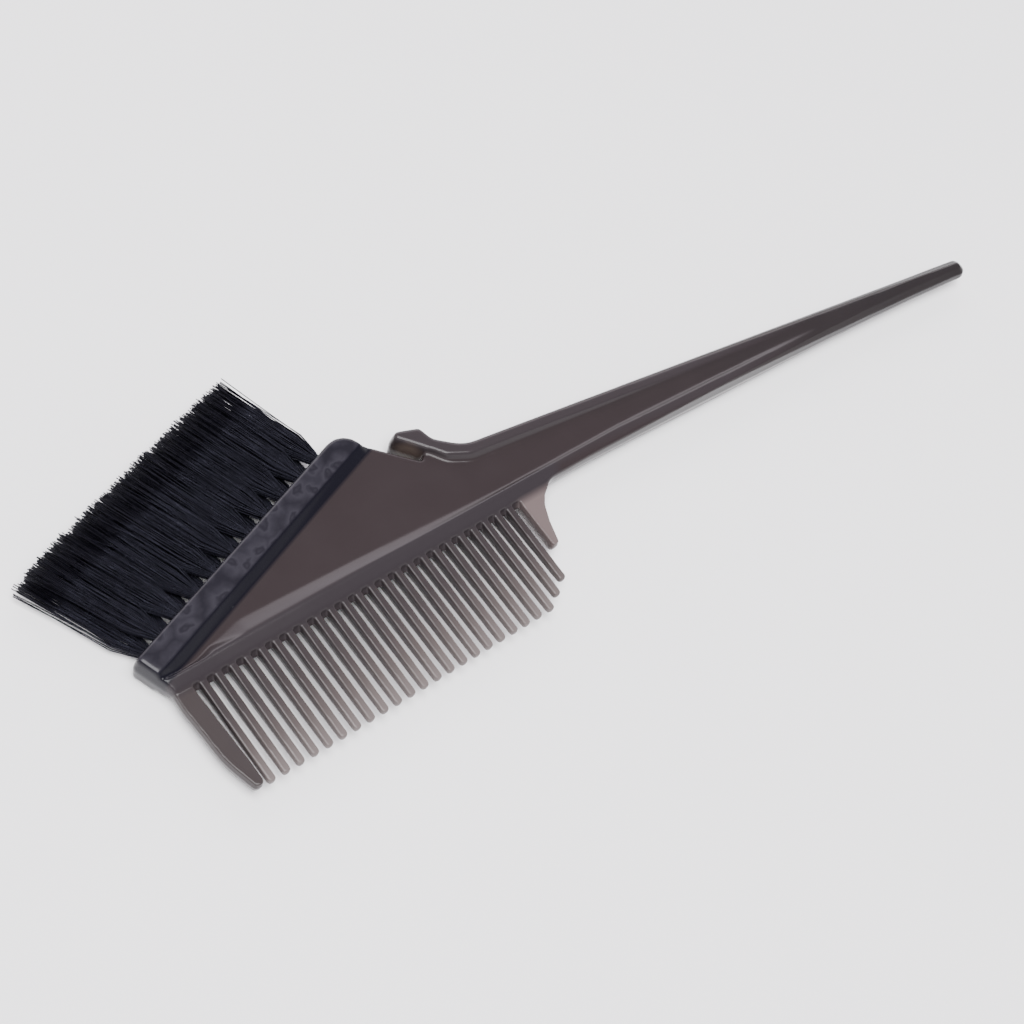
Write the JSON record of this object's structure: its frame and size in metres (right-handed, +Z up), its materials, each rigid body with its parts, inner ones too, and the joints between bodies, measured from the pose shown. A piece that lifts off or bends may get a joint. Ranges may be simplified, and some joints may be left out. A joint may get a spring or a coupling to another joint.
{
  "type": "tint brush",
  "caption": "Flat hair-tinting brush with a slanted bristle bar, a comb along the other side, a small hook and a tapered handle, moulded in smoky translucent plastic.",
  "frame": {"origin": "bottom centre of the bounding box, on the surface the brush lies on", "axes": "+X along the handle towards its tail, +Z up through the thickness of the flat-lying brush, bristles towards +Y and comb teeth towards -Y"},
  "size_m": [0.2192, 0.0705, 0.0066],
  "materials": {
    "smoky_plastic": "smooth, translucent smoky grey-brown",
    "black_nylon": "satin black filaments",
    "anchor_wire": "plain drawn wire"
  },
  "bodies": {
    "root": {"body": "smoky_plastic", "tuft_lower_01": "black_nylon", "tuft_lower_02": "black_nylon", "tuft_lower_03": "black_nylon", "tuft_lower_04": "black_nylon", "tuft_lower_05": "black_nylon", "tuft_lower_06": "black_nylon", "tuft_lower_07": "black_nylon", "tuft_lower_08": "black_nylon", "tuft_lower_09": "black_nylon", "tuft_lower_10": "black_nylon", "anchor_lower_01": "anchor_wire", "anchor_lower_02": "anchor_wire", "anchor_lower_03": "anchor_wire", "anchor_lower_04": "anchor_wire", "anchor_lower_05": "anchor_wire", "anchor_lower_06": "anchor_wire", "anchor_lower_07": "anchor_wire", "anchor_lower_08": "anchor_wire", "anchor_lower_09": "anchor_wire", "anchor_lower_10": "anchor_wire", "tuft_upper_01": "black_nylon", "tuft_upper_02": "black_nylon", "tuft_upper_03": "black_nylon", "tuft_upper_04": "black_nylon", "tuft_upper_05": "black_nylon", "tuft_upper_06": "black_nylon", "tuft_upper_07": "black_nylon", "tuft_upper_08": "black_nylon", "tuft_upper_09": "black_nylon", "tuft_upper_10": "black_nylon", "anchor_upper_01": "anchor_wire", "anchor_upper_02": "anchor_wire", "anchor_upper_03": "anchor_wire", "anchor_upper_04": "anchor_wire", "anchor_upper_05": "anchor_wire", "anchor_upper_06": "anchor_wire", "anchor_upper_07": "anchor_wire", "anchor_upper_08": "anchor_wire", "anchor_upper_09": "anchor_wire", "anchor_upper_10": "anchor_wire"}
  },
  "joints": []
}
